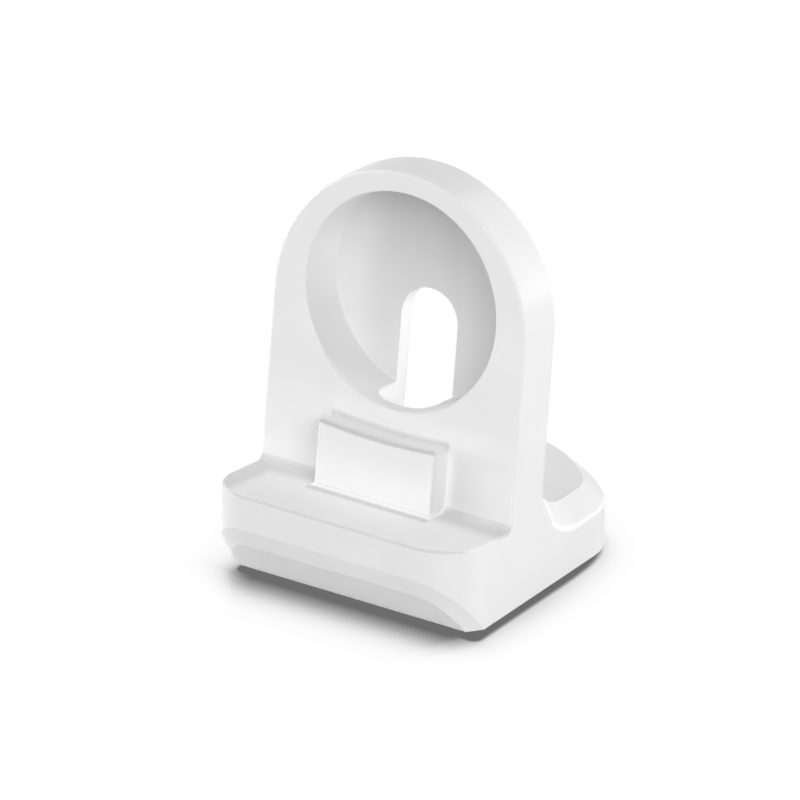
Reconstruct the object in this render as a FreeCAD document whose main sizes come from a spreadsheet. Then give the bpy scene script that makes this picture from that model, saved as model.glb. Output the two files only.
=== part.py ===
import FreeCAD, Part
import math
import os
import Sketcher

# One-piece moulded stand for a round charging puck: a foot with a ledge in front, an arched plate that leans
# back, a round pocket for the puck, a cable channel behind it and a rest block on the ledge.
# Millimetres. +X to the right, +Y to the back, +Z up. The origin is the middle of the foot, on the table.

NODE = "charging_stand"

# Driving dimensions: name, value or formula, what it is
SIZES = [
    ("pocket_diameter", 40.0, "puck pocket, which the rest of the stand is drawn round"),
    ("rim_width", 6.4, "plate at each side of the pocket"),
    ("stand_width", "=pocket_diameter + 2 * rim_width", "width of the foot and of the plate"),
    ("foot_length", 62.2, "foot, from the front wall to its rearmost point"),
    ("front_corner", 8.8, "plan radius of the two front corners"),
    ("rear_corner", 11.0, "plan radius where the sides turn into the rear curve"),
    ("bulge_share", 0.2814, "share of the foot's length behind the end of its straight sides"),
    ("rear_bulge", "=foot_length * bulge_share", "foot behind the end of its straight sides"),
    ("front_height", 17.9, "top of the front wall"),
    ("rear_height", 12.0, "flat top of the foot behind the plate"),
    ("ledge_share", 0.2958, "share of the foot's length in front of the plate"),
    ("ledge_depth", "=foot_length * ledge_share", "ledge, from the front wall to the plate, along its slope"),
    ("plate_lean", 7.5, "degrees that the plate leans back"),
    ("plate_thick", 13.4, "plate, front face to back face"),
    ("plate_root", 6.0, "how far the plate reaches down into the foot"),
    ("arch_drop", 2.6, "centre of the arch below the centre of the pocket"),
    ("pocket_clear", 16.3, "lowest point of the pocket above the ledge, along the plate"),
    ("pocket_rise", "=pocket_clear + pocket_diameter / 2", "centre of the pocket above the ledge"),
    ("pocket_depth", 10.1, "puck pocket, from the front face to its floor"),
    ("slot_width", 11.8, "cable slot and channel"),
    ("slot_drop", 6.1, "centre of the slot's round top below the centre of the pocket"),
    ("slot_wall", 2.3, "wall between the cable channel and the plate's front face"),
    ("slot_corner", 3.2, "radius of the channel's two front corners"),
    ("sweep_share", 0.1238, "share of the foot's length that the sweep behind the plate takes"),
    ("back_sweep", "=foot_length * sweep_share", "concave radius from the plate's back down to the foot"),
    ("back_bevel", 3.8, "bevel round the plate's back edge and the foot's rear top"),
    ("bevel_round", 1.5, "rounding where that bevel meets the sides"),
    ("block_width", 24.4, "rest block on the ledge"),
    ("block_height", 11.9, "rest block above the ledge, at its middle"),
    ("block_proud", 4.6, "rest block, in front of the plate"),
    ("block_root", 1.0, "how far the rest block reaches down into the foot"),
    ("block_hollow", 120.0, "radius of the rest block's hollow top"),
    ("block_round", 0.6, "rounding of the rest block's front edges"),
    ("crease_round", 1.4, "rounding in the crease between plate and ledge"),
    ("block_crease", 0.8, "rounding where the rest block meets plate and ledge"),
    ("undercut_height", 9.3, "where the plane of the undercut meets the front wall"),
    ("undercut_angle", 52.0, "degrees from the table to the plane of the undercut"),
    ("undercut_bevel", 2.0, "bevel between the undercut and the front wall"),
    ("front_round", 0.6, "rounding of the edge round the ledge, up the plate and over the arch"),
    ("rim_round", 0.3, "rounding of the pocket's rim"),
]

doc = FreeCAD.newDocument("ChargingStand")
sheet = doc.addObject("Spreadsheet::Sheet", "Sizes")
for row, (alias, value, note) in enumerate(SIZES, start=1):
    sheet.set("A%d" % row, alias)
    sheet.set("B%d" % row, str(value))
    sheet.set("C%d" % row, note)
    sheet.setAlias("B%d" % row, alias)
doc.recompute()
size = {alias: float(getattr(sheet, alias)) for alias, _, _ in SIZES}

MARGIN = 5.0    # how far a cutting outline stands clear of the solid
NEAR = 0.01     # two places closer than this are one
ORIGIN = (-1, 1)
UP_AXIS = -2
START, END, MIDDLE = range(1, 4)

# The plate is measured from the crease between ledge and plate. Each place is worked out here as a number for
# the first drawing, and as the formula of the named sizes that it is bound to.
lean = math.radians(size["plate_lean"])
frontY = -size["foot_length"] / 2
creaseY = frontY + size["ledge_depth"] * math.cos(lean)
creaseZ = size["front_height"] - size["ledge_depth"] * math.sin(lean)
sweepRun = size["back_sweep"] / math.tan(math.radians(45) - lean / 2)
channelDepth = size["plate_thick"] - size["slot_wall"] + sweepRun * math.cos(lean)
channelEnd = size["slot_wall"] + channelDepth
channelFloor = (size["rear_height"] - creaseZ + channelEnd * math.sin(lean)) / math.cos(lean)
FRONT_Y = "(-Sizes.foot_length / 2)"
CREASE_Y = "(-Sizes.foot_length / 2 + Sizes.ledge_depth * cos(Sizes.plate_lean))"
CREASE_Z = "(Sizes.front_height - Sizes.ledge_depth * sin(Sizes.plate_lean))"
SWEEP_RUN = "(Sizes.back_sweep / tan(45 - Sizes.plate_lean / 2))"
CHANNEL_DEPTH = "(Sizes.plate_thick - Sizes.slot_wall + %s * cos(Sizes.plate_lean))" % SWEEP_RUN
CHANNEL_DROP = "(Sizes.slot_wall + %s) * sin(Sizes.plate_lean)" % CHANNEL_DEPTH
CHANNEL_FLOOR = "((Sizes.rear_height - %s + %s) / cos(Sizes.plate_lean))" % (CREASE_Z, CHANNEL_DROP)

body = doc.addObject("PartDesign::Body", "ChargingStand")
body.Label = NODE


def point(x, y):
    return FreeCAD.Vector(x, y, 0)


def line(x0, y0, x1, y1):
    return Part.LineSegment(point(x0, y0), point(x1, y1))


def arc(x, y, radius, start, end):
    circle = Part.Circle(point(x, y), FreeCAD.Vector(0, 0, 1), radius)
    return Part.ArcOfCircle(circle, start, end)


def newSketch(name, role):
    """An empty outline on one of the stand's own planes."""
    sketch = body.newObject("Sketcher::SketchObject", name)
    plane = [item for item in body.Origin.OriginFeatures if item.Role == role][0]
    sketch.AttachmentSupport = [(plane, "")]
    sketch.MapMode = "FlatFace"
    return sketch


def plateSketch(name, inset="0"):
    """An outline in the plate's front plane, or set back from it: x right, y up the plate from the crease."""
    sketch = newSketch(name, "XZ_Plane")
    tilt = FreeCAD.Rotation(FreeCAD.Vector(1, 0, 0), -size["plate_lean"])
    sketch.AttachmentOffset = FreeCAD.Placement(point(0, creaseZ), tilt)
    sketch.setExpression("AttachmentOffset.Base.y", "%s - %s * sin(Sizes.plate_lean)" % (CREASE_Z, inset))
    sketch.setExpression("AttachmentOffset.Base.z", "-%s - %s * cos(Sizes.plate_lean)" % (CREASE_Y, inset))
    sketch.setExpression("AttachmentOffset.Rotation.Angle", "-Sizes.plate_lean")
    return sketch


def bind(sketch, constraint, formula):
    index = sketch.addConstraint(constraint)
    sketch.setExpression("Constraints[%d]" % index, formula)


def pinX(sketch, corner, x, formula):
    bind(sketch, Sketcher.Constraint("DistanceX", *ORIGIN, *corner, x), formula)


def pinY(sketch, corner, y, formula):
    bind(sketch, Sketcher.Constraint("DistanceY", *ORIGIN, *corner, y), formula)


def joinRound(sketch, count, smooth=()):
    """Closes the outline of `count` pieces; the joints listed in smooth are tangent."""
    for first in range(count):
        second = (first + 1) % count
        kind = "Tangent" if first in smooth else "Coincident"
        sketch.addConstraint(Sketcher.Constraint(kind, first, END, second, START))


def cornerOutline(sketch, corners):
    """A closed outline of straight lines; each corner is (y, its formula, z, its formula)."""
    count = len(corners)
    for i in range(count):
        after = corners[(i + 1) % count]
        sketch.addGeometry(line(corners[i][0], corners[i][2], after[0], after[2]), False)
    joinRound(sketch, count)
    for i, (y, yFormula, z, zFormula) in enumerate(corners):
        pinX(sketch, (i, START), y, yFormula)
        pinY(sketch, (i, START), z, zFormula)


def feature(kind, name, profile, **settings):
    item = body.newObject("PartDesign::" + kind, name)
    item.Profile = profile
    for key, value in settings.items():
        setattr(item, key, value)
    body.Tip = item
    return item


def dress(kind, name, base, test, sizeName, prop):
    """A fillet or chamfer on the edges of `base` that pass the test, bound to a named size."""
    doc.recompute()
    names = ["Edge%d" % i for i, edge in enumerate(base.Shape.Edges, start=1) if test(edge)]
    if not names:
        raise RuntimeError("no edge found for " + name)
    item = body.newObject("PartDesign::" + kind, name)
    item.Base = (base, names)
    setattr(item, prop, size[sizeName])
    item.setExpression(prop, "Sizes." + sizeName)
    body.Tip = item
    doc.recompute()
    return item


def along(edge, direction):
    """True for a straight edge that runs along the direction."""
    if not isinstance(edge.Curve, (Part.Line, Part.LineSegment)):
        return False
    return abs(abs(edge.tangentAt(edge.FirstParameter).dot(direction)) - 1) < NEAR


def crossing(edge, y=None, z=None):
    """True for a straight edge across the stand, at that y and z."""
    if not along(edge, FreeCAD.Vector(1, 0, 0)):
        return False
    middle = edge.CenterOfMass
    return (y is None or abs(middle.y - y) < NEAR) and (z is None or abs(middle.z - z) < NEAR)


def inPlate(place):
    """A place in the plate's own measures: x, up the plate from the crease, and back from its front face."""
    fromCrease = place - FreeCAD.Vector(0, creaseY, creaseZ)
    up = fromCrease.y * math.sin(lean) + fromCrease.z * math.cos(lean)
    back = fromCrease.y * math.cos(lean) - fromCrease.z * math.sin(lean)
    return FreeCAD.Vector(place.x, up, back)


def plateCircle(edge, radius, back):
    """True for an arc of that radius in a plane parallel to the plate, that far behind its front face."""
    if not isinstance(edge.Curve, Part.Circle) or abs(edge.Curve.Radius - radius) > NEAR:
        return False
    return abs(inPlate(edge.Curve.Center).z - back) < NEAR


def makeFoot():
    """The foot's plan: straight front and sides, round corners and a broad round rear."""
    half = size["stand_width"] / 2
    front = size["front_corner"]
    rear = size["rear_corner"]
    bulge = size["rear_bulge"]
    cornerY = size["foot_length"] / 2 - bulge
    broad = ((half - rear) ** 2 + bulge ** 2 - rear ** 2) / (bulge - rear) / 2
    rearY = size["foot_length"] / 2 - broad
    turn = math.atan2(cornerY - rearY, half - rear)
    quarter = math.pi / 2
    sketch = newSketch("FootPlan", "XY_Plane")
    sketch.addGeometry([
        line(front - half, frontY, half - front, frontY),
        arc(half - front, frontY + front, front, -quarter, 0),
        line(half, frontY + front, half, cornerY),
        arc(half - rear, cornerY, rear, 0, turn),
        arc(0, rearY, broad, turn, 2 * quarter - turn),
        arc(rear - half, cornerY, rear, 2 * quarter - turn, 2 * quarter),
        line(-half, cornerY, -half, frontY + front),
        arc(front - half, frontY + front, front, 2 * quarter, 3 * quarter),
    ], False)
    rearmost = sketch.addGeometry(Part.Point(point(0, size["foot_length"] / 2)), True)
    joinRound(sketch, 8, smooth=range(8))
    sketch.addConstraint([
        Sketcher.Constraint("Vertical", 2),
        Sketcher.Constraint("Symmetric", 1, MIDDLE, 7, MIDDLE, UP_AXIS),
        Sketcher.Constraint("Symmetric", 3, MIDDLE, 5, MIDDLE, UP_AXIS),
        Sketcher.Constraint("Equal", 1, 7),
        Sketcher.Constraint("Equal", 3, 5),
        Sketcher.Constraint("PointOnObject", rearmost, START, UP_AXIS),
        Sketcher.Constraint("PointOnObject", rearmost, START, 4),
    ])
    bind(sketch, Sketcher.Constraint("Radius", 1, front), "Sizes.front_corner")
    bind(sketch, Sketcher.Constraint("Radius", 3, rear), "Sizes.rear_corner")
    pinY(sketch, (2, END), cornerY, "Sizes.foot_length / 2 - Sizes.rear_bulge")
    pinX(sketch, (2, START), half, "Sizes.stand_width / 2")
    pinY(sketch, (0, START), frontY, FRONT_Y)
    pinY(sketch, (rearmost, START), -frontY, "Sizes.foot_length / 2")
    foot = feature("Pad", "Foot", sketch, Length=max(size["front_height"], size["rear_height"]))
    foot.setExpression("Length", "max(Sizes.front_height; Sizes.rear_height)")
    return foot


def cutTop():
    """Cuts the foot's top to the ledge, square to the plate, in front and to the flat top behind."""
    inner = size["ledge_depth"] + size["plate_thick"] / 2
    innerY = frontY + inner * math.cos(lean)
    innerZ = size["front_height"] - inner * math.sin(lean)
    top = size["front_height"] + size["rear_height"] + MARGIN
    outerZ = size["front_height"] + MARGIN * math.tan(lean)
    innerRun = "(Sizes.ledge_depth + Sizes.plate_thick / 2)"
    innerYFormula = "%s + %s * cos(Sizes.plate_lean)" % (FRONT_Y, innerRun)
    topFormula = "Sizes.front_height + Sizes.rear_height + %g" % MARGIN
    before = (frontY - MARGIN, "%s - %g" % (FRONT_Y, MARGIN))
    behind = (MARGIN - frontY, "Sizes.foot_length / 2 + %g" % MARGIN)
    inside = (innerY, innerYFormula)
    sketch = newSketch("TopProfile", "YZ_Plane")
    cornerOutline(sketch, [
        (*before, outerZ, "Sizes.front_height + %g * tan(Sizes.plate_lean)" % MARGIN),
        (*inside, innerZ, "Sizes.front_height - %s * sin(Sizes.plate_lean)" % innerRun),
        (*inside, size["rear_height"], "Sizes.rear_height"),
        (*behind, size["rear_height"], "Sizes.rear_height"),
        (*behind, top, topFormula),
        (*before, top, topFormula),
    ])
    return feature("Pocket", "FootTop", sketch, Type="ThroughAll", Midplane=True)


def cutUndercut():
    """The slanted plane under the foot's front."""
    slope = math.tan(math.radians(size["undercut_angle"]))
    slopeFormula = "tan(Sizes.undercut_angle)"
    sketch = newSketch("UndercutProfile", "YZ_Plane")
    cornerOutline(sketch, [
        (frontY - MARGIN, "%s - %g" % (FRONT_Y, MARGIN), size["undercut_height"] + MARGIN * slope,
         "Sizes.undercut_height + %g * %s" % (MARGIN, slopeFormula)),
        (frontY - MARGIN, "%s - %g" % (FRONT_Y, MARGIN), -MARGIN, "-%g" % MARGIN),
        (frontY + (size["undercut_height"] + MARGIN) / slope,
         "%s + (Sizes.undercut_height + %g) / %s" % (FRONT_Y, MARGIN, slopeFormula), -MARGIN, "-%g" % MARGIN),
    ])
    return feature("Pocket", "Undercut", sketch, Type="ThroughAll", Midplane=True)


def makePlate():
    """The arched plate, from its root in the foot to the top of the arch."""
    half = size["stand_width"] / 2
    archY = size["pocket_rise"] - size["arch_drop"]
    root = -size["plate_root"]
    sketch = plateSketch("PlateOutline")
    sketch.addGeometry([
        line(-half, root, half, root),
        line(half, root, half, archY),
        arc(0, archY, half, 0, math.pi),
        line(-half, archY, -half, root),
    ], False)
    joinRound(sketch, 4, smooth=(1, 2))
    sketch.addConstraint([
        Sketcher.Constraint("Horizontal", 0),
        Sketcher.Constraint("Vertical", 1),
        Sketcher.Constraint("Vertical", 3),
        Sketcher.Constraint("PointOnObject", 2, MIDDLE, UP_AXIS),
    ])
    pinX(sketch, (0, END), half, "Sizes.stand_width / 2")
    pinY(sketch, (0, START), root, "-Sizes.plate_root")
    pinY(sketch, (2, MIDDLE), archY, "Sizes.pocket_rise - Sizes.arch_drop")
    plate = feature("Pad", "Plate", sketch, Length=size["plate_thick"], Reversed=True)
    plate.setExpression("Length", "Sizes.plate_thick")
    return plate


def cutPocket():
    radius = size["pocket_diameter"] / 2
    sketch = plateSketch("PocketCircle")
    circle = Part.Circle(point(0, size["pocket_rise"]), FreeCAD.Vector(0, 0, 1), radius)
    sketch.addGeometry(circle, False)
    sketch.addConstraint(Sketcher.Constraint("PointOnObject", 0, MIDDLE, UP_AXIS))
    bind(sketch, Sketcher.Constraint("Diameter", 0, 2 * radius), "Sizes.pocket_diameter")
    pinY(sketch, (0, MIDDLE), size["pocket_rise"], "Sizes.pocket_rise")
    pocket = feature("Pocket", "PuckPocket", sketch, Length=size["pocket_depth"])
    pocket.setExpression("Length", "Sizes.pocket_depth")
    return pocket


def cutChannel():
    """The cable slot through the pocket's floor and the channel below it, open at the back."""
    half = size["slot_width"] / 2
    topY = size["pocket_rise"] - size["slot_drop"]
    sketch = plateSketch("SlotOutline", "Sizes.slot_wall")
    sketch.addGeometry([
        line(-half, channelFloor, half, channelFloor),
        line(half, channelFloor, half, topY),
        arc(0, topY, half, 0, math.pi),
        line(-half, topY, -half, channelFloor),
    ], False)
    joinRound(sketch, 4, smooth=(1, 2))
    sketch.addConstraint([
        Sketcher.Constraint("Horizontal", 0),
        Sketcher.Constraint("Vertical", 1),
        Sketcher.Constraint("Vertical", 3),
        Sketcher.Constraint("PointOnObject", 2, MIDDLE, UP_AXIS),
    ])
    pinX(sketch, (0, END), half, "Sizes.slot_width / 2")
    pinY(sketch, (0, START), channelFloor, CHANNEL_FLOOR)
    pinY(sketch, (2, MIDDLE), topY, "Sizes.pocket_rise - Sizes.slot_drop")
    channel = feature("Pocket", "CableChannel", sketch, Length=channelDepth)
    channel.setExpression("Length", CHANNEL_DEPTH)
    return channel


def makeBlock():
    """The rest block in front of the plate, with a slightly hollow top."""
    half = size["block_width"] / 2
    hollow = size["block_hollow"]
    spread = math.asin(half / hollow)
    down = -math.pi / 2
    endY = size["block_height"] + hollow - hollow * math.cos(spread)
    root = -size["block_root"]
    sketch = plateSketch("BlockOutline")
    sketch.addGeometry([
        line(-half, root, half, root),
        line(half, root, half, endY),
        arc(0, size["block_height"] + hollow, hollow, down - spread, down + spread),
        line(-half, endY, -half, root),
    ], False)
    joints = [(0, END, 1, START), (1, END, 2, END), (2, START, 3, START), (3, END, 0, START)]
    sketch.addConstraint([Sketcher.Constraint("Coincident", *joint) for joint in joints])
    sketch.addConstraint([
        Sketcher.Constraint("Horizontal", 0),
        Sketcher.Constraint("Vertical", 1),
        Sketcher.Constraint("Vertical", 3),
        Sketcher.Constraint("PointOnObject", 2, MIDDLE, UP_AXIS),
    ])
    pinX(sketch, (0, END), half, "Sizes.block_width / 2")
    pinX(sketch, (0, START), -half, "-Sizes.block_width / 2")
    pinY(sketch, (0, START), root, "-Sizes.block_root")
    bind(sketch, Sketcher.Constraint("Radius", 2, hollow), "Sizes.block_hollow")
    pinY(sketch, (2, MIDDLE), size["block_height"] + hollow, "Sizes.block_height + Sizes.block_hollow")
    block = feature("Pad", "RestBlock", sketch, Length=size["block_proud"])
    block.setExpression("Length", "Sizes.block_proud")
    return block


def underPlateBack(edge):
    return crossing(edge, z=size["rear_height"])


def onBackArch(edge):
    """The arch of the plate's back edge; the bevel runs on down the sweep and round the foot's rear."""
    return plateCircle(edge, size["stand_width"] / 2, size["plate_thick"])


def onBevelArch(edge):
    return plateCircle(edge, size["stand_width"] / 2, size["plate_thick"] - size["back_bevel"])


def overUndercut(edge):
    return crossing(edge, frontY, size["undercut_height"])


def inCrease(edge):
    return crossing(edge, creaseY, creaseZ)


def onFrontArch(edge):
    """The arch of the plate's front edge; the rounding runs on from it down the sides and round the ledge."""
    return plateCircle(edge, size["stand_width"] / 2, 0)


def onRim(edge):
    return plateCircle(edge, size["pocket_diameter"] / 2, 0)


def inChannelCorner(edge):
    """The channel's two front corners, which run up the plate."""
    if not along(edge, FreeCAD.Vector(0, math.sin(lean), math.cos(lean))):
        return False
    place = inPlate(edge.CenterOfMass)
    return abs(place.z - size["slot_wall"]) < NEAR and abs(abs(place.x) - size["slot_width"] / 2) < NEAR


def edgeEnds(edge):
    return [inPlate(edge.valueAt(place)) for place in (edge.FirstParameter, edge.LastParameter)]


def onBlock(edge):
    """The rest block's outer edges: round its front, without the foot, and down the sides of its top."""
    ends = edgeEnds(edge)
    front = all(abs(place.z + size["block_proud"]) < NEAR for place in ends)
    outside = max(place.y for place in ends) > size["block_height"] / 2
    forward = min(place.z for place in ends) < -size["block_proud"] / 2
    topSide = all(abs(abs(place.x) - size["block_width"] / 2) < NEAR for place in ends)
    top = all(place.y > size["block_height"] for place in ends)
    return outside and forward and (front or (topSide and top))


def underBlock(edge):
    """The front edge between the rest block and the ledge, where the crease round it starts."""
    ends = edgeEnds(edge)
    return all(abs(place.y) < NEAR and abs(place.z + size["block_proud"]) < NEAR for place in ends)


def checkAll():
    """Stops the script if any object failed or the stand isn't one sound solid."""
    for item in doc.Objects:
        if "Invalid" in item.State or "Error" in item.State:
            raise RuntimeError("%s failed: %s" % (item.Name, item.State))
    shape = body.Shape
    if shape.isNull() or not shape.isValid() or len(shape.Solids) != 1:
        raise RuntimeError("the stand isn't one sound solid")


makeFoot()
cutTop()
cutUndercut()
plate = makePlate()
sweep = dress("Fillet", "BackSweep", plate, underPlateBack, "back_sweep", "Radius")
bevel = dress("Chamfer", "BackBevel", sweep, onBackArch, "back_bevel", "Size")
bevelRound = dress("Fillet", "BevelRound", bevel, onBevelArch, "bevel_round", "Radius")
undercutBevel = dress("Chamfer", "UndercutBevel", bevelRound, overUndercut, "undercut_bevel", "Size")
crease = dress("Fillet", "CreaseRound", undercutBevel, inCrease, "crease_round", "Radius")
dress("Fillet", "FrontRound", crease, onFrontArch, "front_round", "Radius")
cutPocket()
channel = cutChannel()
channelCorner = dress("Fillet", "ChannelCorner", channel, inChannelCorner, "slot_corner", "Radius")
dress("Fillet", "RimRound", channelCorner, onRim, "rim_round", "Radius")
block = makeBlock()
blockRound = dress("Fillet", "BlockRound", block, onBlock, "block_round", "Radius")
dress("Fillet", "BlockCrease", blockRound, underBlock, "block_crease", "Radius")
doc.recompute()
checkAll()
os.makedirs("parts", exist_ok=True)
body.Shape.exportStep("parts/%s.step" % NODE)
print("%s: %.0f mm3, %d faces" % (NODE, body.Shape.Volume, len(body.Shape.Faces)))
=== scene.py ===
import bpy
import math
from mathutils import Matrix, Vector

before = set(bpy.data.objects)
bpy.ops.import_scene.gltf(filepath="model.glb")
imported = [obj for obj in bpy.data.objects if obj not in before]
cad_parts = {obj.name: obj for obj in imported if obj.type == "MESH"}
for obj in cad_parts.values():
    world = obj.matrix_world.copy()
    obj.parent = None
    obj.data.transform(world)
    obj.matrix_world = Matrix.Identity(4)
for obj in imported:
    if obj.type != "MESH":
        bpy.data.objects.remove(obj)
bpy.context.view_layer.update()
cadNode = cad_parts["charging_stand"]
print("frame loaded, nodes:", sorted(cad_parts))


def around(azimuth, elevation, distance, centre):
    # a place round the stand: azimuth 0 is in front, 90 on its right; degrees and metres
    a, e = math.radians(azimuth), math.radians(elevation)
    out = Vector((math.sin(a) * math.cos(e), -math.cos(a) * math.cos(e), math.sin(e)))
    return Vector(centre) + out * distance


def aimAt(thing, centre):
    direction = Vector(centre) - thing.location
    thing.rotation_euler = direction.to_track_quat("-Z", "Y").to_euler()


def newNode(tree, kind, inputs=None, **settings):
    node = tree.nodes.new("ShaderNode" + kind)
    for key, value in settings.items():
        setattr(node, key, value)
    for key, value in (inputs or {}).items():
        node.inputs[key].default_value = value
    return node


def emptyMaterial(name):
    material = bpy.data.materials.new(name)
    material.use_nodes = True
    material.node_tree.nodes.clear()
    return material, material.node_tree, newNode(material.node_tree, "OutputMaterial")


def link(tree, *pairs):
    for start, end in pairs:
        tree.links.new(start, end)


def maths(tree, operation, *values):
    node = newNode(tree, "Math", operation=operation)
    for place, value in enumerate(values):
        if isinstance(value, (int, float)):
            node.inputs[place].default_value = value
        else:
            tree.links.new(value, node.inputs[place])
    return node.outputs[0]


def product(tree, first, *others):
    for other in others:
        first = maths(tree, "MULTIPLY", first, other)
    return first


def along(tree, place, direction):
    node = newNode(tree, "VectorMath", operation="DOT_PRODUCT")
    node.inputs[1].default_value = direction
    tree.links.new(place, node.inputs[0])
    return node.outputs["Value"]


def within(tree, value, low, high):
    # 1 where the value lies between low and high
    return product(tree, maths(tree, "GREATER_THAN", value, low), maths(tree, "LESS_THAN", value, high))


def ramp(tree, value, low, high, start, end, kind="SMOOTHSTEP"):
    node = newNode(tree, "MapRange", {"From Min": low, "From Max": high, "To Min": start, "To Max": end},
                   interpolation_type=kind)
    tree.links.new(value, node.inputs["Value"])
    return node.outputs["Result"]


def curveOver(tree, value, steps):
    # a smooth curve through (value, result) steps
    low, high = steps[0][0], steps[-1][0]
    peak = max(result for _, result in steps)
    node = newNode(tree, "FloatCurve")
    points = node.mapping.curves[0].points
    for place, (where, result) in enumerate(steps):
        spot = ((where - low) / (high - low), result / peak)
        if place < 2:
            points[place].location = spot
        else:
            points.new(*spot)
    for point in points:
        point.handle_type = "AUTO_CLAMPED"
    node.mapping.update()
    tree.links.new(ramp(tree, value, low, high, 0.0, 1.0, kind="LINEAR"), node.inputs["Value"])
    return maths(tree, "MULTIPLY", node.outputs[0], peak)


def tintWhere(tree, mask, tint):
    # the tint where the mask is 1, and 1 where it is 0
    return maths(tree, "ADD", 1.0, product(tree, mask, maths(tree, "SUBTRACT", tint, 1.0)))


# the camera of the picture: no perspective, from the front right and above
cameraSetup = {
    "aim": (0.004207, -0.014569, 0.036085),
    "azimuth": 33.73,
    "elevation": 26.56,
    "distance": 0.6,
    "pictureWidth": 0.14035,
    "clip": (0.01, 10),
}
cameraData = bpy.data.cameras.new("pictureCamera")
cameraData.type = "ORTHO"
cameraData.ortho_scale = cameraSetup["pictureWidth"]
cameraData.clip_start, cameraData.clip_end = cameraSetup["clip"]
camera = bpy.data.objects.new("pictureCamera", cameraData)
bpy.context.scene.collection.objects.link(camera)
camera.location = around(cameraSetup["azimuth"], cameraSetup["elevation"], cameraSetup["distance"],
                         cameraSetup["aim"])
aimAt(camera, cameraSetup["aim"])
bpy.context.scene.camera = camera
print("camera at", tuple(round(v, 3) for v in camera.location))

# soft round lamps about the stand, all as large and as far away
lampCentre = (0, 0, 0.035)
lampDistance = 0.7
lampSize = 0.4
lamps = {
    "key": {"azimuth": 57, "elevation": 29, "watts": 2.72},
    "rightEdge": {"azimuth": 108, "elevation": 5, "watts": 0.78},
    "backRight": {"azimuth": 150, "elevation": 6, "watts": 2.2},
    "back": {"azimuth": 200, "elevation": 35, "watts": 0.55},
    "left": {"azimuth": -90, "elevation": 6, "watts": 3.1},
    "leftFill": {"azimuth": -50, "elevation": 27, "watts": 1.12},
    "highLeft": {"azimuth": -60, "elevation": 60, "watts": 0.5},
    "front": {"azimuth": -8, "elevation": 28, "watts": 0.82},
    "top": {"azimuth": 0, "elevation": 89, "watts": 0.80},
}
for name, setup in lamps.items():
    lampData = bpy.data.lights.new(name, "AREA")
    lampData.shape = "DISK"
    lampData.size = lampSize
    lampData.energy = setup["watts"]
    lamp = bpy.data.objects.new(name, lampData)
    bpy.context.scene.collection.objects.link(lamp)
    lamp.location = around(setup["azimuth"], setup["elevation"], lampDistance, lampCentre)
    aimAt(lamp, lampCentre)
print("lamps:", len(lamps))

# the room: plain light from all round, pure white where it is seen, and a dark patch that only gloss shows
room = {
    "light": 0.0,
    "seen": 1.0,
    "patch": (-0.51, -0.44, 0.74),
    "patchEdge": (0.70, 0.93),
    "patchGlow": 0.0,
}
world = bpy.data.worlds.new("room")
world.use_nodes = True
bpy.context.scene.world = world
tree = world.node_tree
tree.nodes.clear()
path = newNode(tree, "LightPath")
direction = newNode(tree, "TexCoord")
towardsPatch = newNode(tree, "VectorMath", operation="DOT_PRODUCT")
towardsPatch.inputs[1].default_value = room["patch"]
glossStrength = newNode(tree, "MapRange", {
    "From Min": room["patchEdge"][0],
    "From Max": room["patchEdge"][1],
    "To Min": room["seen"],
    "To Max": room["patchGlow"],
}, interpolation_type="SMOOTHSTEP")
glossy = newNode(tree, "Mix", data_type="FLOAT")
glossy.inputs["A"].default_value = room["light"]
clear = newNode(tree, "Math", operation="MAXIMUM")
strength = newNode(tree, "Mix", data_type="FLOAT")
strength.inputs["B"].default_value = room["seen"]
background = newNode(tree, "Background", {"Color": (1, 1, 1, 1)})
worldOutput = newNode(tree, "OutputWorld")
for start, end in (
    (direction.outputs["Generated"], towardsPatch.inputs[0]),
    (towardsPatch.outputs["Value"], glossStrength.inputs["Value"]),
    (path.outputs["Is Glossy Ray"], glossy.inputs["Factor"]),
    (glossStrength.outputs["Result"], glossy.inputs["B"]),
    (path.outputs["Is Camera Ray"], clear.inputs[0]),
    (path.outputs["Is Transmission Ray"], clear.inputs[1]),
    (clear.outputs[0], strength.inputs["Factor"]),
    (glossy.outputs["Result"], strength.inputs["A"]),
    (strength.outputs["Result"], background.inputs["Strength"]),
    (background.outputs[0], worldOutput.inputs["Surface"]),
):
    tree.links.new(start, end)
print("room lit")

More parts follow.
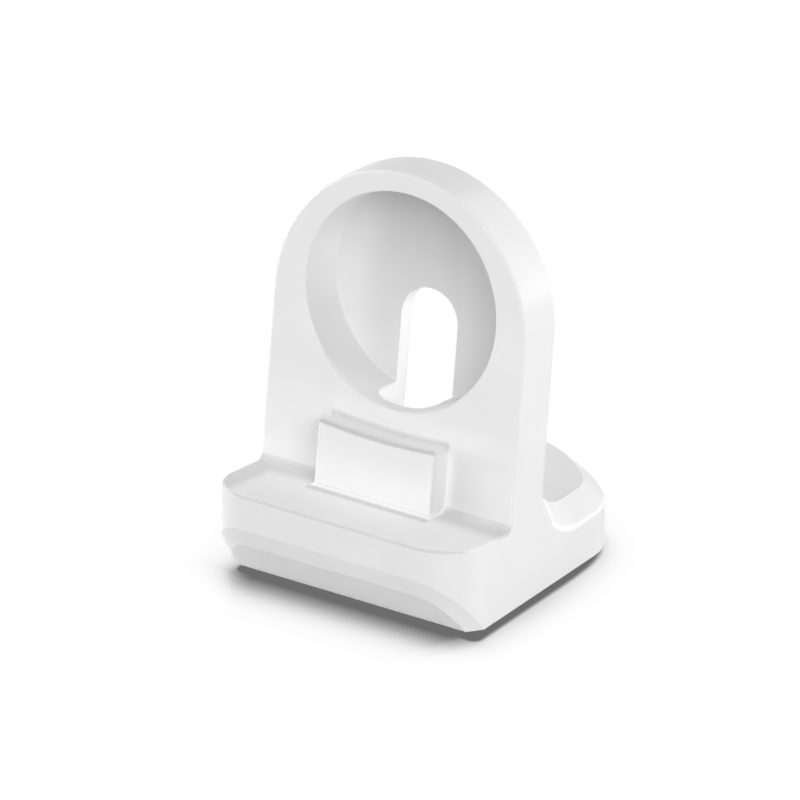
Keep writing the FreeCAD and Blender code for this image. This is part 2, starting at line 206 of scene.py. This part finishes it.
# the floor: white paper, with painted shade that darkens it close to the stand, and a painted dark shadow along the
# foot's edge in front and on the right
floorSetup = {
    "size": 4.0,
    "drop": 0.00005,
    "colour": 0.9,
    "reach": 0.015,
    "reachSamples": 16,
    # painted shadow: the footprint of the dark band beside the foot
    "edgeMiddle": (0.0025, 0.0009),
    "edgeHalf": (0.0259, 0.0275),
    "edgeCorner": 0.002,
    "rearMiddle": (0.0020, -0.0046),
    "rearRadius": 0.0325,
    "rearBlend": 0.008,
    "edgeSoft": (-0.00065, 0.0011),
    "edgeShade": 0.15,
    # how open the paper is to the room, and how light its painted shade leaves it there
    "shades": ((0.0, 0.147), (0.32, 0.162), (0.38, 0.242), (0.50, 0.445), (0.55, 0.578), (0.60, 0.665),
               (0.65, 0.783), (0.95, 1.0), (1.0, 1.0)),
    "rearFade": (0.010, 0.026, 0.85),
    # the painted shadow before the front edge: how dark by the way out, and how much of it is left towards either end
    "frontEdge": -0.0266,
    "frontDark": ((0.0, 0.85), (0.0004, 0.83), (0.0024, 0.672), (0.0034, 0.593), (0.0044, 0.473),
                  (0.0094, 0.095), (0.016, 0.0)),
    "rightSpread": 0.4,
    "rightEnd": ((0.0, 1.0), (0.022, 1.0), (0.0254, 0.76), (0.0284, 0.39), (0.0294, 0.24), (0.033, 0.06),
                 (0.037, 0.0)),
    "leftSpread": 0.6,
    "leftEnd": ((0.0, 1.0), (0.019, 1.0), (0.020, 0.97), (0.022, 0.82), (0.027, 0.13), (0.030, 0.05), (0.034, 0.0)),
    "frontFrom": (-0.009, -0.021),
    "openFrom": (0.024, 0.020),
}
bpy.ops.object.select_all(action="DESELECT")
bpy.ops.mesh.primitive_plane_add(size=floorSetup["size"], location=(0, 0, -floorSetup["drop"]))
floor = bpy.context.object
floor.name = "floor"
material, tree, output = emptyMaterial("paper")
paper = newNode(tree, "BsdfDiffuse", {"Color": (floorSetup["colour"],) * 3 + (1,)})
spot = newNode(tree, "TexCoord")
toRight = along(tree, spot.outputs["Object"], (1, 0, 0))
toLeft = along(tree, spot.outputs["Object"], (-1, 0, 0))
toRear = along(tree, spot.outputs["Object"], (0, 1, 0))

# painted contact shade all round, less of it at the rear
openness = newNode(tree, "AmbientOcclusion", {"Distance": floorSetup["reach"]},
                   samples=floorSetup["reachSamples"])
contact = curveOver(tree, openness.outputs["AO"], floorSetup["shades"])
fadeStart, fadeEnd, fadeShare = floorSetup["rearFade"]
inFront = ramp(tree, toRear, floorSetup["frontFrom"][1], floorSetup["frontFrom"][0], 1.0, 0.0)
lessRear = ramp(tree, toRear, fadeStart, fadeEnd, 0.0, fadeShare)
openStart, openEnd = floorSetup["openFrom"]
lessFront = product(tree, inFront, ramp(tree, toRight, openEnd, openStart, 1.0, 0.0))
lighter = maths(tree, "MAXIMUM", lessRear, lessFront)
contact = maths(tree, "ADD", contact, product(tree, lighter, maths(tree, "SUBTRACT", 1.0, contact)))

# the longer painted shadow before the front edge
wayOut = maths(tree, "MAXIMUM", maths(tree, "SUBTRACT", floorSetup["frontEdge"], toRear), 0.0)
rightPlace = maths(tree, "ADD", toRight, maths(tree, "MULTIPLY", wayOut, floorSetup["rightSpread"]))
leftPlace = maths(tree, "ADD", toLeft, maths(tree, "MULTIPLY", wayOut, floorSetup["leftSpread"]))
ends = maths(tree, "MINIMUM", curveOver(tree, rightPlace, floorSetup["rightEnd"]),
             curveOver(tree, leftPlace, floorSetup["leftEnd"]))
frontDark = product(tree, curveOver(tree, wayOut, floorSetup["frontDark"]), ends, inFront)
frontShade = maths(tree, "SUBTRACT", 1.0, frontDark)

# painted shadow: the dark band right beside the foot
fromEdge = newNode(tree, "VectorMath", operation="SUBTRACT")
fromEdge.inputs[1].default_value = floorSetup["edgeMiddle"] + (0,)
mirrored = newNode(tree, "VectorMath", operation="ABSOLUTE")
beyond = newNode(tree, "VectorMath", operation="SUBTRACT")
beyond.inputs[1].default_value = tuple(half - floorSetup["edgeCorner"] for half in floorSetup["edgeHalf"]) + (0,)
outside = newNode(tree, "VectorMath", operation="MAXIMUM")
outside.inputs[1].default_value = (0, 0, 0)
far = newNode(tree, "VectorMath", operation="LENGTH")
fromRear = newNode(tree, "VectorMath", operation="SUBTRACT")
fromRear.inputs[1].default_value = floorSetup["rearMiddle"] + (0,)
behind = newNode(tree, "VectorMath", operation="MAXIMUM")
behind.inputs[1].default_value = (-floorSetup["size"], 0, 0)
farRear = newNode(tree, "VectorMath", operation="LENGTH")
link(tree, (spot.outputs["Object"], fromEdge.inputs[0]), (fromEdge.outputs[0], mirrored.inputs[0]),
     (mirrored.outputs[0], beyond.inputs[0]), (beyond.outputs[0], outside.inputs[0]),
     (outside.outputs[0], far.inputs[0]), (spot.outputs["Object"], fromRear.inputs[0]),
     (fromRear.outputs[0], behind.inputs[0]), (behind.outputs[0], farRear.inputs[0]))
sideGap = maths(tree, "SUBTRACT", far.outputs["Value"], floorSetup["edgeCorner"])
rearGap = maths(tree, "SUBTRACT", farRear.outputs["Value"], floorSetup["rearRadius"])
gap = maths(tree, "SMOOTH_MAX", sideGap, rearGap, floorSetup["rearBlend"])
edge = ramp(tree, gap, *floorSetup["edgeSoft"], floorSetup["edgeShade"], 1.0)

# what the camera, gloss and clear materials see is the paper with its painted shade and shadow; light falls on plain
# paper
shown = maths(tree, "MINIMUM", maths(tree, "MINIMUM", contact, frontShade), edge)
glow = newNode(tree, "Emission")
path = newNode(tree, "LightPath")
seen = maths(tree, "MAXIMUM", path.outputs["Is Camera Ray"],
             maths(tree, "MAXIMUM", path.outputs["Is Glossy Ray"], path.outputs["Is Transmission Ray"]))
either = newNode(tree, "MixShader")
link(tree, (shown, glow.inputs["Strength"]), (seen, either.inputs["Fac"]), (paper.outputs[0], either.inputs[1]),
     (glow.outputs[0], either.inputs[2]), (either.outputs[0], output.inputs["Surface"]))
floor.data.materials.append(material)
print("floor laid")

# white silicone, moulded with a fine matt grain, its colour carrying painted light and shade; places are measured
# from the crease where ledge and plate meet, across, up the plate and back into it, and most rows are (place, tint)
# steps of painted light and shade
silicone = {
    "colour": (0.80, 0.80, 0.80),
    "roughness": (0.44, 0.56),
    "bend": 1.41,
    "grainScale": 2600.0,
    "grainDetail": 2.0,
    "grainHeight": 0.000012,
    "grainStrength": 0.6,
    "cloudScale": 90.0,
    "cloudDetail": 3.0,
    "cloud": (0.985, 1.0),
    "noiseSpan": (0.3, 0.7),
    "crease": (0.0, -0.012857, 0.015498),
    "plateUp": (0.0, 0.13053, 0.99144),
    "plateBack": (0.0, 0.99144, -0.13053),
    "facesFront": (0.6, 0.85),
    # the plate's front, with painted light and shade
    "plateSkin": (-0.0004, 0.0004),
    "plateRun": ((-0.010, 1.0), (0.028, 1.0), (0.056, 0.95), (0.070, 0.95)),
    "plateLeft": ((0.0, 1.10), (0.0025, 1.19), (0.006, 1.13), (0.010, 1.07), (0.020, 1.0)),
    "leftFrom": (-0.012, -0.016),
    "plateRight": ((0.0126, 1.22), (0.0131, 1.20), (0.0136, 1.13), (0.0142, 1.06), (0.0152, 1.03), (0.019, 1.04),
                   (0.021, 1.07), (0.027, 1.10)),
    "lowPlate": (0.0085, 0.0135),
    "lowestPlate": ((0.0, 0.93), (0.0012, 1.0), (0.0022, 1.0)),
    "aboveBlock": ((0.0100, 1.0), (0.0120, 1.04), (0.0134, 1.10), (0.0150, 1.09), (0.0165, 1.04), (0.0195, 1.0)),
    "aboveFade": (0.016, 0.023, 0.5),
    "aboveLeft": (-0.0145, -0.0105, 0.15),
    # the pocket and the slot, with painted shade on the pocket's floor and wall and painted light on the slot's walls
    "pocketRise": 0.0363,
    "pocketRadius": (0.0196, 0.0204),
    "floorDepth": (0.0098, 0.0104),
    # painted shade on the pocket's floor, lighter at the lower left and darker towards the upper right
    "floorSlope": (0.27, 0.96),
    "floorRun": (-0.017, 0.015),
    "pocketFloorPaintedShading": (1.17, 0.80),
    "floorAcross": ((-0.019, 1.03), (-0.015, 1.01), (-0.009, 0.895), (-0.005, 0.885), (0.0, 0.895), (0.004, 0.90),
                    (0.008, 0.94), (0.012, 0.93), (0.019, 0.92)),
    # painted shade on the pocket's wall, darker below
    "wallFrom": 0.0003,
    "wallRun": ((-0.020, 0.90), (-0.010, 0.88), (-0.002, 0.97), (0.005, 1.04), (0.020, 1.04)),
    # painted light on the slot's walls
    "slotHalf": 0.0061,
    "slotBack": (0.0005, 0.0140),
    "slotRun": (0.009, 0.045),
    "slotTurn": (0.3, 0.6),
    "slotPaintedLight": 1.18,
    # the rest block, with painted light and shade
    "blockHalf": 0.0127,
    "blockProud": 0.0046,
    "blockSkin": 0.00015,
    "blockHollow": 0.24,  # twice the radius of the hollow in its top
    "hollowLift": 0.00062,
    "blockFoot": 0.0007,
    "blockRun": ((0.0, 1.21), (0.0030, 1.20), (0.0096, 1.07), (0.0110, 1.06), (0.0117, 1.03), (0.0121, 0.84),
                 (0.0135, 0.84)),
    "blockTop": ((-0.0050, 0.80), (-0.0040, 0.82), (-0.0032, 0.92), (-0.0016, 0.92), (-0.0010, 0.86), (0.0, 0.86)),
    "blockTopFrom": (0.0112, 0.0118),
    "blockTopTo": -0.0002,
    "blockSide": ((-0.0046, 1.0), (-0.0043, 0.92), (-0.0038, 0.93), (-0.0030, 0.99), (0.0, 1.0)),
    "sideSkin": 0.0006,
    "sideUp": (0.0012, 0.0112),
    "sideTurn": (0.5, 0.8),
    # painted shade on the ledge, and on edges and creases that face up and forward
    "ledgeBack": -0.0001,
    "ledgeUp": (-0.0016, 0.0018),
    "ledgeTurn": (0.15, 0.30),
    "plateCrease": ((-0.0064, 1.0), (-0.0054, 0.97), (-0.0018, 0.79), (0.0010, 0.79)),
    # painted shade along the crease at the block's foot, with a slight painted light right at the block
    "blockCrease": ((-0.0034, 1.0), (-0.0024, 0.96), (-0.0018, 0.80), (-0.0011, 0.74), (-0.0007, 0.78),
                    (-0.0004, 0.94), (-0.0001, 1.06), (0.0, 1.0), (0.0004, 1.0)),
    "blockReach": (-0.0085, 0.0),
    "ledgeLeft": (-0.0203, -0.0232, 0.80),
    # painted shade on edges and creases that face up and forward
    "ridgeEnd": (0.020, 0.026),
    "ridgeUp": (0.16, 0.36),
    "ridgeFlat": (0.88, 0.98),
    "ridgeFront": (0.2, 0.4),
    "ridgePaintedShade": 0.81,
    # the rear of the foot, the plate's rim and the undercut, with a painted highlight, painted light and painted
    # shade
    # a painted highlight where the rear bevel meets the side, and the rear's upward faces painted lighter
    "sweepFrom": 0.0136,
    "sweepEdge": (0.06, 0.22, 0.42, 0.62),
    "sweepPaintedHighlight": 1.16,
    "rearUp": (0.3, 0.5),
    "rearPaintedShading": 1.04,
    # painted light and shade along the plate's outer rim
    "rimFrom": 0.0215,
    "rimBack": (0.0002, 0.0010),
    "rimRise": (0.0, 0.004),
    "rimRun": ((-0.027, 1.0), (0.0, 1.01), (0.004, 0.988), (0.008, 0.99), (0.0115, 1.065), (0.0142, 1.07),
               (0.0219, 0.987), (0.0232, 1.0), (0.0247, 1.04), (0.0255, 1.0), (0.027, 1.0)),
    # painted light on the undercut, lighter near the paper
    "under": ((0.0, 1.125), (0.009, 0.975), (0.012, 0.965)),
    "underTurn": (-0.5, -0.2),
}
material, tree, output = emptyMaterial("whiteSilicone")
spot = newNode(tree, "TexCoord")
surface = newNode(tree, "NewGeometry")
fromCrease = newNode(tree, "VectorMath", operation="SUBTRACT")
fromCrease.inputs[1].default_value = silicone["crease"]
link(tree, (spot.outputs["Object"], fromCrease.inputs[0]))
across = along(tree, fromCrease.outputs[0], (1, 0, 0))
up = along(tree, fromCrease.outputs[0], silicone["plateUp"])
back = along(tree, fromCrease.outputs[0], silicone["plateBack"])
height = along(tree, spot.outputs["Object"], (0, 0, 1))
faceUp = along(tree, surface.outputs["Normal"], (0, 0, 1))
faceFront = along(tree, surface.outputs["Normal"], (0, -1, 0))
acrossSquared = maths(tree, "POWER", across, 2)
besideMiddle = maths(tree, "ABSOLUTE", across)
turnedFront = ramp(tree, faceFront, *silicone["facesFront"], 0.0, 1.0)

# painted light and shade on the plate's front: lighter round the block, darker towards its top and just over the
# ledge
onPlate = product(tree, within(tree, back, *silicone["plateSkin"]), turnedFront, maths(tree, "GREATER_THAN", up, 0.0))
lowPlate = product(tree, onPlate, ramp(tree, up, *silicone["lowPlate"], 1.0, 0.0))
atRight = product(tree, lowPlate, maths(tree, "GREATER_THAN", across, 0.0))
atLeft = product(tree, onPlate, ramp(tree, across, *silicone["leftFrom"], 0.0, 1.0))
fadeFrom, fadeTo, fadeLeast = silicone["aboveFade"]
leftEnd, leftFull, leftLeast = silicone["aboveLeft"]
aboveBlock = product(tree, onPlate, ramp(tree, besideMiddle, fadeFrom, fadeTo, 1.0, fadeLeast),
                     ramp(tree, across, leftEnd, leftFull, leftLeast, 1.0))
platePaintedShading = product(tree, tintWhere(tree, onPlate, curveOver(tree, up, silicone["plateRun"])),
                    tintWhere(tree, atLeft, curveOver(tree, up, silicone["plateLeft"])),
                    tintWhere(tree, atRight, curveOver(tree, across, silicone["plateRight"])),
                    tintWhere(tree, aboveBlock, curveOver(tree, up, silicone["aboveBlock"])),
                    tintWhere(tree, onPlate, curveOver(tree, up, silicone["lowestPlate"])))

# painted light and shade in the pocket: its floor lighter at the lower left and darker towards the upper right, its
# wall darker below, and painted light on the slot through it
rise = maths(tree, "SUBTRACT", up, silicone["pocketRise"])
reach = maths(tree, "SQRT", maths(tree, "ADD", acrossSquared, maths(tree, "POWER", rise, 2)))
onFloor = product(tree, within(tree, back, *silicone["floorDepth"]),
                  maths(tree, "LESS_THAN", reach, silicone["pocketRadius"][1]), turnedFront)
slide = maths(tree, "ADD", maths(tree, "MULTIPLY", across, silicone["floorSlope"][0]),
              maths(tree, "MULTIPLY", rise, silicone["floorSlope"][1]))
pocketFloorPaintedShading = product(tree, ramp(tree, slide, *silicone["floorRun"], *silicone["pocketFloorPaintedShading"], kind="LINEAR"),
                    curveOver(tree, across, silicone["floorAcross"]))
onWall = product(tree, within(tree, back, silicone["wallFrom"], silicone["floorDepth"][0]),
                 within(tree, reach, *silicone["pocketRadius"]))
# painted light: the slot's walls lighter, and with them a strip of the plate's flat back as wide as the slot
inSlot = product(tree, maths(tree, "LESS_THAN", besideMiddle, silicone["slotHalf"]),
                 within(tree, back, *silicone["slotBack"]), within(tree, up, *silicone["slotRun"]),
                 ramp(tree, faceFront, *silicone["slotTurn"], 1.0, 0.0),
                 ramp(tree, faceUp, *silicone["slotTurn"], 1.0, 0.0))
pocketPaintedShading = product(tree, tintWhere(tree, onFloor, pocketFloorPaintedShading),
                     tintWhere(tree, onWall, curveOver(tree, rise, silicone["wallRun"])),
                     tintWhere(tree, inSlot, silicone["slotPaintedLight"]))

# painted light and shade on the rest block: its front lighter towards the ledge, its hollow top darker, its sides
# darker beside the front
blockFront = silicone["blockSkin"] - silicone["blockProud"]
nearBlock = maths(tree, "LESS_THAN", besideMiddle, silicone["blockHalf"])
hollow = maths(tree, "DIVIDE", acrossSquared, silicone["blockHollow"])
hollowUp = maths(tree, "ADD", maths(tree, "SUBTRACT", up, hollow), silicone["hollowLift"])
onFront = product(tree, nearBlock, maths(tree, "LESS_THAN", back, blockFront),
                  maths(tree, "GREATER_THAN", up, silicone["blockFoot"]))
onTop = product(tree, nearBlock, within(tree, back, blockFront, silicone["blockTopTo"]),
                ramp(tree, hollowUp, *silicone["blockTopFrom"], 0.0, 1.0))
sideFrom, sideTo = silicone["blockHalf"] - silicone["sideSkin"], silicone["blockHalf"] + silicone["sideSkin"]
onSide = product(tree, within(tree, besideMiddle, sideFrom, sideTo),
                 within(tree, back, -silicone["blockProud"], 0.0), within(tree, up, *silicone["sideUp"]),
                 ramp(tree, faceFront, *silicone["sideTurn"], 1.0, 0.0))
blockPaintedShading = product(tree, tintWhere(tree, onFront, curveOver(tree, hollowUp, silicone["blockRun"])),
                    tintWhere(tree, onTop, curveOver(tree, back, silicone["blockTop"])),
                    tintWhere(tree, onSide, curveOver(tree, back, silicone["blockSide"])))

# painted shade on the ledge, darker along the plate and at its left end, and on every edge or crease that faces up
# and forward; just before the block, the block's own crease, with painted shade and light, takes their place
onLedge = product(tree, maths(tree, "LESS_THAN", back, silicone["ledgeBack"]),
                  within(tree, up, *silicone["ledgeUp"]), ramp(tree, faceUp, *silicone["ledgeTurn"], 0.0, 1.0))
leftFrom, leftTo, ledgeLeftPaintedShade = silicone["ledgeLeft"]
# painted shade on every edge or crease that faces up and forward
ridge = product(tree, ramp(tree, faceUp, *silicone["ridgeUp"], 0.0, 1.0),
                ramp(tree, faceUp, *silicone["ridgeFlat"], 1.0, 0.0),
                ramp(tree, faceFront, *silicone["ridgeFront"], 0.0, 1.0),
                ramp(tree, up, *silicone["ridgeEnd"], 1.0, 0.0))
ledgePaintedShading = maths(tree, "MINIMUM", tintWhere(tree, onLedge, curveOver(tree, back, silicone["plateCrease"])),
                  tintWhere(tree, onLedge, ramp(tree, across, leftTo, leftFrom, ledgeLeftPaintedShade, 1.0)))
ledgePaintedShading = maths(tree, "MINIMUM", ledgePaintedShading, tintWhere(tree, ridge, silicone["ridgePaintedShade"]))
# painted shade and a painted light band in the block's own crease
backFromBlock = maths(tree, "ADD", back, silicone["blockProud"])
beforeBlock = product(tree, onLedge, nearBlock, within(tree, back, *silicone["blockReach"]))
blockCreasePaintedShading = maths(tree, "SUBTRACT", curveOver(tree, backFromBlock, silicone["blockCrease"]), ledgePaintedShading)
ledgePaintedShading = maths(tree, "ADD", ledgePaintedShading, product(tree, beforeBlock, blockCreasePaintedShading))

# painted light on the rear of the foot: a painted highlight on the edge where its bevel meets the side, its upward
# faces lighter, and painted light and shade along the plate's outer rim
lineFrom, lineFull, lineLast, lineTo = silicone["sweepEdge"]
atRear = maths(tree, "GREATER_THAN", back, silicone["sweepFrom"])
sweepEdge = product(tree, atRear, ramp(tree, faceUp, lineFrom, lineFull, 0.0, 1.0),
                    ramp(tree, faceUp, lineLast, lineTo, 1.0, 0.0))
onRear = product(tree, atRear, ramp(tree, faceUp, *silicone["rearUp"], 0.0, 1.0))
onRim = product(tree, maths(tree, "GREATER_THAN", reach, silicone["rimFrom"]),
                ramp(tree, rise, *silicone["rimRise"], 0.0, 1.0), ramp(tree, back, *silicone["rimBack"], 0.0, 1.0))
rearPaintedShading = product(tree, tintWhere(tree, sweepEdge, silicone["sweepPaintedHighlight"]),
                   tintWhere(tree, onRear, silicone["rearPaintedShading"]),
                   tintWhere(tree, onRim, curveOver(tree, across, silicone["rimRun"])))

# painted light on the undercut, which faces the paper: lighter near the paper, a little darker higher up
underPaintedShading = tintWhere(tree, ramp(tree, faceUp, *silicone["underTurn"], 1.0, 0.0),
                      curveOver(tree, height, silicone["under"]))

# faint clouds in the colour and a fine grain
cloud = newNode(tree, "TexNoise", {"Scale": silicone["cloudScale"], "Detail": silicone["cloudDetail"]})
grain = newNode(tree, "TexNoise", {"Scale": silicone["grainScale"], "Detail": silicone["grainDetail"]})
link(tree, (spot.outputs["Object"], cloud.inputs["Vector"]), (spot.outputs["Object"], grain.inputs["Vector"]))
cloudTint = ramp(tree, cloud.outputs["Fac"], *silicone["noiseSpan"], *silicone["cloud"])
roughness = ramp(tree, grain.outputs["Fac"], *silicone["noiseSpan"], *silicone["roughness"])
# the colour: the painted light and shade above, times the faint clouds
tint = product(tree, platePaintedShading, pocketPaintedShading, blockPaintedShading, ledgePaintedShading, rearPaintedShading, underPaintedShading, cloudTint)
colour = newNode(tree, "VectorMath", operation="SCALE")
colour.inputs[0].default_value = silicone["colour"]
bump = newNode(tree, "Bump", {"Strength": silicone["grainStrength"], "Distance": silicone["grainHeight"]})
shader = newNode(tree, "BsdfPrincipled", {"IOR": silicone["bend"]})
link(tree, (tint, colour.inputs["Scale"]), (colour.outputs[0], shader.inputs["Base Color"]),
     (roughness, shader.inputs["Roughness"]), (grain.outputs["Fac"], bump.inputs["Height"]),
     (bump.outputs[0], shader.inputs["Normal"]), (shader.outputs[0], output.inputs["Surface"]))
cadNode.data.materials.clear()
cadNode.data.materials.append(material)
print("silicone made")

bpy.context.scene.view_settings.view_transform = "Standard"
